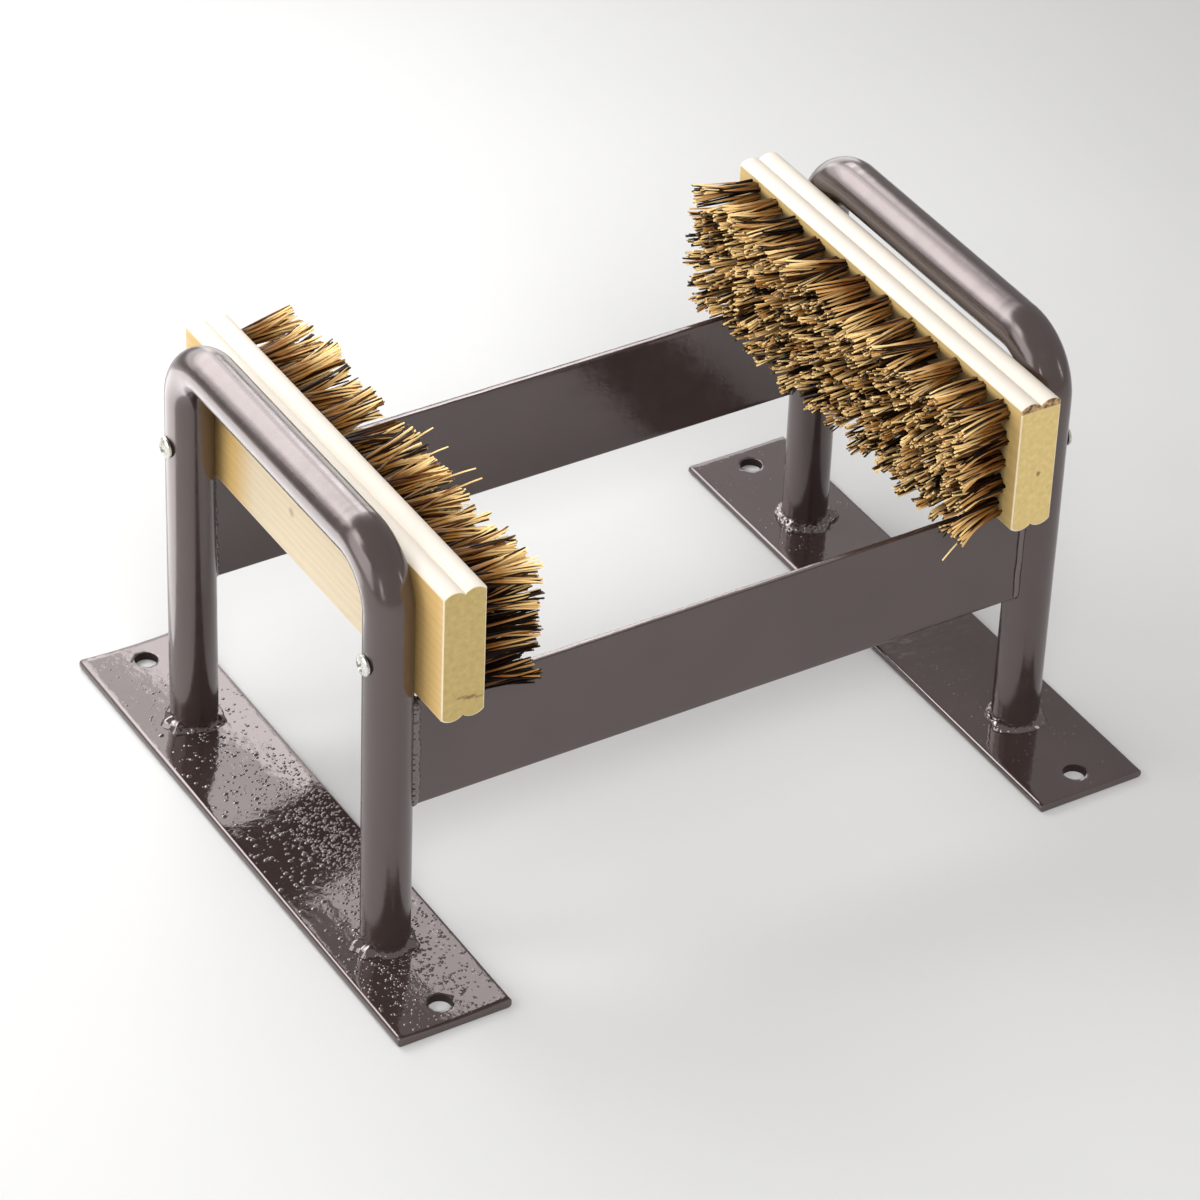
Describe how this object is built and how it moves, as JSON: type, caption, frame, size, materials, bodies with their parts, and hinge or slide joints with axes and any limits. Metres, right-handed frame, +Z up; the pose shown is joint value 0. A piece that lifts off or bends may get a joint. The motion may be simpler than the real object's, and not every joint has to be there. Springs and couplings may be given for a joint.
{
  "type": "boot scraper",
  "caption": "Floor-mounted boot scraper: two bent tube hoops on drilled base plates, joined by two flat scraper rails, with a wooden-backed bristle brush screwed inside each hoop.",
  "frame": {"origin": "on the ground, in the middle between the two base plates", "axes": "+X along the scraper rails from the left hoop to the right one, +Y along the base plates from front to rear, +Z up"},
  "size_m": [0.346, 0.27, 0.193],
  "materials": {
    "paint": "gloss dark brown-grey enamel over mild steel, brushed on thick, with orange peel and weld spatter under it",
    "wood": "bare planed pale hardwood",
    "fibre": "stiff golden-brown plant fibre",
    "zinc": "bright zinc plate"
  },
  "bodies": {
    "root": {"base_plate_left": "paint", "base_plate_right": "paint", "hoop_left": "paint", "hoop_right": "paint", "scraper_rail_front": "paint", "scraper_rail_rear": "paint", "foot_weld_left_front": "paint", "foot_weld_left_rear": "paint", "foot_weld_right_front": "paint", "foot_weld_right_rear": "paint", "rail_weld_left_front": "paint", "rail_weld_left_rear": "paint", "rail_weld_right_front": "paint", "rail_weld_right_rear": "paint", "brush_block_left": "wood", "brush_block_right": "wood", "bristles_left_top_row": "fibre", "bristles_left_upper_row": "fibre", "bristles_left_middle_row": "fibre", "bristles_left_lower_row": "fibre", "bristles_left_bottom_row": "fibre", "bristles_right_top_row": "fibre", "bristles_right_upper_row": "fibre", "bristles_right_middle_row": "fibre", "bristles_right_lower_row": "fibre", "bristles_right_bottom_row": "fibre", "screw_left_front": "zinc", "screw_left_rear": "zinc", "screw_right_front": "zinc", "screw_right_rear": "zinc"}
  },
  "joints": []
}
